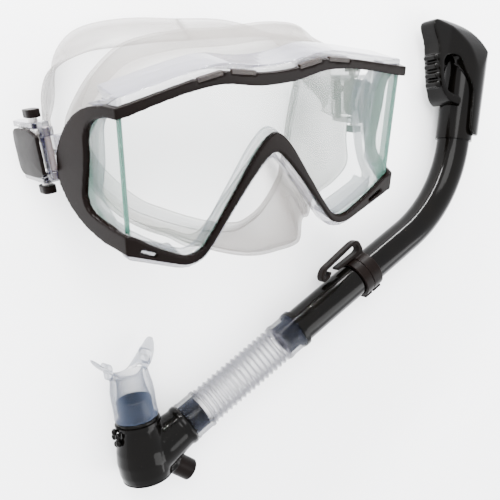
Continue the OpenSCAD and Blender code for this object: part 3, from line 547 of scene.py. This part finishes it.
def cover_plate(side):
    half = through(PLATE_OUTLINE, 5)
    edge = np.vstack([half, (half * (1, -1))[-2::-1]])
    heart = vec([13.5, 0])
    rows = []
    for level, shares in ((0, np.linspace(0.15, 1, 7)), (1, np.linspace(1, 0.15, 7))):
        for share in shares:
            flat = heart + (edge - heart) * share
            lift = PLATE_Z + (PLATE_T + 0.7 * (1 - share ** 3) if level else 0)
            rows.append(np.c_[flat, np.full(len(flat), lift)])
    columns = len(edge)
    caps = [list(range(columns)), list(range((len(rows) - 1) * columns, len(rows) * columns))]
    plate = place("cover_plate_" + side, buckle_pose(side).put(np.vstack(rows)),
                  lattice(len(rows), columns) + caps, satin_abs)
    soften(plate, 0.4, 2)
    dress(plate, satin_abs)
    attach(plate, nodes["buckle_cover_" + side]["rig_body"])
    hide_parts("buckle_cover_" + side)


for side in ("left", "right"):
    soften_node("buckle_" + side, 0.4, 3)
    cover_plate(side)
    for height in ("upper", "lower"):
        soften_node("%s_button_%s" % (height, side), 0.3, 3)


# ---------- snorkel ----------

KEEPER_AT = 61
# Dry top: x along its tube, y towards the intake rail.
top_way = joint_axis("float_slide")
if top_way @ barrel_way < 0:
    top_way = -top_way
STRAIGHT_L = 108
BEND_R = 94
BEND = math.acos(float(top_way @ barrel_way))
bend_end = [STRAIGHT_L - KEEPER_AT + BEND_R * math.sin(BEND), BEND_R * (1 - math.cos(BEND)), 0]
top_pose = Pose(snorkel_pose.put(bend_end)[0], top_way, np.cross((0, 0, 1), top_way), (0, 0, 1))
TOOTH_R = 2.1
# A turned piece that is solid starts this near its axis.
HEART = 0.01
teeth = []
for index in range(4):
    x, y = 35 + 6 * index, 27.4 + 1.6 * index
    tooth = [(HEART, -6), (TOOTH_R - 0.6, -6), (TOOTH_R, -5.4), (TOOTH_R, 5.4),
             (TOOTH_R - 0.6, 6), (HEART, 6)]
    upright = Pose(top_pose.put([x, y, 0])[0], (0, 0, 1), *top_pose.axes[:2])
    teeth.append(turned("hood_tooth", tooth, upright, satin_abs, 24))
soften_node("splash_hood", 0.6, 14, teeth)
soften_node("keeper_clip", 0.35, 4)
soften_node("keeper_ring", 0.4, 2)
ARM_END = -93.6 - KEEPER_AT
saddle = turned("branch_saddle", [(HEART, ARM_END - 25), (14.2, ARM_END - 25), (14, ARM_END - 18),
                                  (12.7, ARM_END - 8), (12.2, ARM_END - 4), (13, ARM_END - 3),
                                  (13, ARM_END - 0.6), (12.4, ARM_END), (HEART, ARM_END)],
                snorkel_pose, gloss_abs)
soften_node("lower_chamber", 0.5, 8, [saddle])

# Small grip nubs on the chamber's flank, below the port ring.
NUB_R = 1.6
NUBS = ((92, 22), (84, 18.5), (94, 15), (106, 20), (104, 16))
for index, (round_port, along) in enumerate(NUBS):
    angle = math.radians(round_port)
    heart = vec([14.6 * math.cos(angle), 14.6 * math.sin(angle), along - 32])
    shape = bmesh.new()
    bmesh.ops.create_icosphere(shape, subdivisions=3, radius=NUB_R)
    points = heart + np.array([v.co for v in shape.verts]) * (1, 1, 1.3)
    faces = [[v.index for v in f.verts] for f in shape.faces]
    shape.free()
    nub = place("grip_nub_%d" % (index + 1), port_pose.put(points), faces, gloss_abs)
    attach(nub, "lower")

HOSE_TOP = -16
HOSE_L = 64
HOSE_R = 12.25
HOSE_WALL = 1.2
RIBS = 17
RIB_DEPTH = 1.1

hose_way = Pose(snorkel_pose.put([HOSE_TOP - HOSE_L - KEEPER_AT, 0, 0])[0], *snorkel_pose.axes)
outside = []
for step in range(RIBS * 10 + 1):
    along = step / 10 / RIBS * HOSE_L
    crest = abs(math.cos(math.pi * step / 10)) ** 0.7
    outside.append((HOSE_R - RIB_DEPTH * crest, along))
inside = [(radius - HOSE_WALL, along) for radius, along in reversed(outside)]
hose = turned("corrugated_hose", outside + inside, hose_way, hose_pvc)
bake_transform(hose)
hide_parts("flex_hose")


# ---------- mouthpiece ----------

JOINT_T = 32
NECK_T = 26
PORT_T = 37.5
TOP_T = NECK_T + 26
BITE_W = 42
BITE_H = 20
RISE = 17
WAIST = 0.35
LEAN = 0.12
BITE_TURN = math.radians(15)
AROUND = 72
angles = np.arange(AROUND) * 2 * math.pi / AROUND


def oval(half_x, half_y, t):
    return np.c_[half_x * np.cos(angles), half_y * np.sin(angles), np.full(AROUND, t)]


def in_port(points):
    """Port coordinates, turned with the bite, as points in the frame."""
    c, s = math.cos(BITE_TURN), math.sin(BITE_TURN)
    return port_pose.put(np.array(points) @ np.array([[c, s, 0], [-s, c, 0], [0, 0, 1]])
                         - vec([0, 0, JOINT_T]))


neck = [oval(12.4, 12.4, NECK_T + 0.3), oval(12.9, 12.9, NECK_T + 1.4),
        oval(12.5, 12.5, NECK_T + 3),
        oval(12.5, 12.5, PORT_T - 2), oval(12.2, 12.8, PORT_T + 2), oval(11.2, 12.8, PORT_T + 7),
        oval(9.4, 12.2, TOP_T - 3), oval(8.2, 12, TOP_T + 0.5), oval(5.6, 9, TOP_T + 1.2),
        oval(5.4, 8.6, TOP_T - 3), oval(7.4, 8.8, PORT_T + 6), oval(9.6, 9.8, PORT_T + 0.6),
        oval(10.3, 10.3, PORT_T), oval(10.3, 10.3, NECK_T + 0.3)]
mouthpiece = place("bite_mouthpiece", in_port(np.vstack(neck)),
                   lattice(len(neck), AROUND, round_rows=True), bite_silicone)


def bite_wing():
    """The shield behind the lips: a plate with a hole, its two lobes tall leaves that flare."""
    rows = []
    for level in (0, 1):
        shares = np.linspace(0, 1, 12)
        for share in (shares if level else shares[::-1]):
            c, s = np.cos(angles), np.sin(angles)
            corner = 1 / (np.abs(c) ** 2.4 + np.abs(s) ** 2.4) ** (1 / 2.4)
            waist = 1 - WAIST * np.exp(-(s / 0.34) ** 2)
            x = (1 - share) * 5.5 * c + share * (BITE_H / 2 - 0.4) * c * corner * waist
            y = (1 - share) * 8.8 * s + share * (BITE_W / 2 - 1) * s * corner
            rise = RISE * (np.abs(y) / (BITE_W / 2)) ** 2.1
            rim = 1.9 * (1 - 0.5 * share) * (0.5 if level else -0.5)
            rows.append(np.c_[x + LEAN * rise, y, TOP_T + 0.5 + rise + rim])
    return np.vstack(rows), lattice(len(rows), AROUND, round_rows=True)


wing_points, wing_faces = bite_wing()
wing = place("bite_wing", in_port(wing_points), wing_faces, bite_silicone)
extras = [wing]
LUG_Y = 13
LUG_T = TOP_T + 9
for sy in (-1, 1):
    # A bite lug: a small curved bar on a short post.
    lug = []
    for along in np.linspace(-5, 5, 9):
        size = 2.6 if abs(along) < 4.9 else 1.4
        lug += [[along, sy * LUG_Y + 1.5 * math.cos(a) * size / 2.6, LUG_T + size * math.sin(a)]
                for a in np.arange(12) * math.pi / 6]
    n = len(lug)
    ends = [list(range(12)), list(range(n - 12, n))]
    extras.append(place("bite_lug", in_port(lug), lattice(9, 12) + ends, bite_silicone))
    post = [[x, sy * LUG_Y + y, t] for t in (TOP_T + 2, LUG_T) for x, y in
            ((-3.2, -1), (3.2, -1), (3.2, 1), (-3.2, 1))]
    extras.append(place("bite_post", in_port(post), lattice(2, 4) + [[0, 1, 2, 3], [4, 5, 6, 7]],
                        bite_silicone))
take_in(mouthpiece, extras)
soften(mouthpiece, 0.45, 5)
dress(mouthpiece, bite_silicone)
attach(mouthpiece, "mouth")
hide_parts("mouthpiece")


# ---------- table, light ----------

# Matt laminate: pale, even, a soft mottling.
laminate = moulded("laminate_pale_matt", "#fbfbfb", "#f8f8f8", 60, 0.65, 3.0, 0.01, {"IOR": 1.45})
size = 3000
table = place("table_top", [[-size, -size, 0], [size, -size, 0], [size, size, 0], [-size, size, 0]],
              [[0, 1, 2, 3]], laminate)

world = bpy.data.worlds.new("studio")
bpy.context.scene.world = world
world.use_nodes = True
world.node_tree.nodes["Background"].inputs[0].default_value = linear("#f8f9fc")
world.node_tree.nodes["Background"].inputs[1].default_value = 4.0


def area_light(name, long_side, short_side, watts):
    light = bpy.data.lights.new(name, "AREA")
    light.shape = "RECTANGLE"
    light.size, light.size_y, light.energy = long_side, short_side, watts
    lamp = bpy.data.objects.new(name, light)
    bpy.context.scene.collection.objects.link(lamp)
    return lamp


def soft_box(name, spot, aim, wide, tall, watts):
    """An area light that looks at a point."""
    lamp = area_light(name, wide, tall, watts)
    lamp.location = Vector(spot)
    lamp.rotation_mode = "QUATERNION"
    lamp.rotation_quaternion = (Vector(aim) - Vector(spot)).to_track_quat("-Z", "Y")


soft_box("key_box", (-0.5, 0.9, 1.3), (0, 0, 0.03), 0.9, 0.9, 40)
soft_box("fill_box", (0.9, -0.7, 1.1), (0.05, 0, 0.03), 0.5, 1.2, 20)


def glint_box(name, aim, run, lean, away, wide, tall, watts):
    """A long light laid so that a bar running along run shows it as a streak.

    lean is the angle round the bar, from the side facing the camera to the streak."""
    run, seen = Vector(run).normalized(), Vector(CAMERA_BACK)
    front = (seen - run * seen.dot(run)).normalized()
    lean = math.radians(lean)
    normal = front * math.cos(lean) + run.cross(front) * math.sin(lean)
    towards = (normal * 2 * normal.dot(seen) - seen).normalized()
    lamp = area_light(name, tall, wide, watts)
    x = (run - towards * run.dot(towards)).normalized()
    facing = Matrix((x, towards.cross(x), towards)).transposed()
    lamp.matrix_world = Matrix.Translation(Vector(aim) + towards * away) @ facing.to_4x4()


barrel_mid = Vector(snorkel_pose.put([0, 0, 0])[0] * MM)
glint_box("barrel_glint_wide", barrel_mid, barrel_way, -28, 0.9, 0.05, 1.2, 60)
glint_box("barrel_glint_thin", barrel_mid, barrel_way, -46, 0.8, 0.02, 1.0, 20)
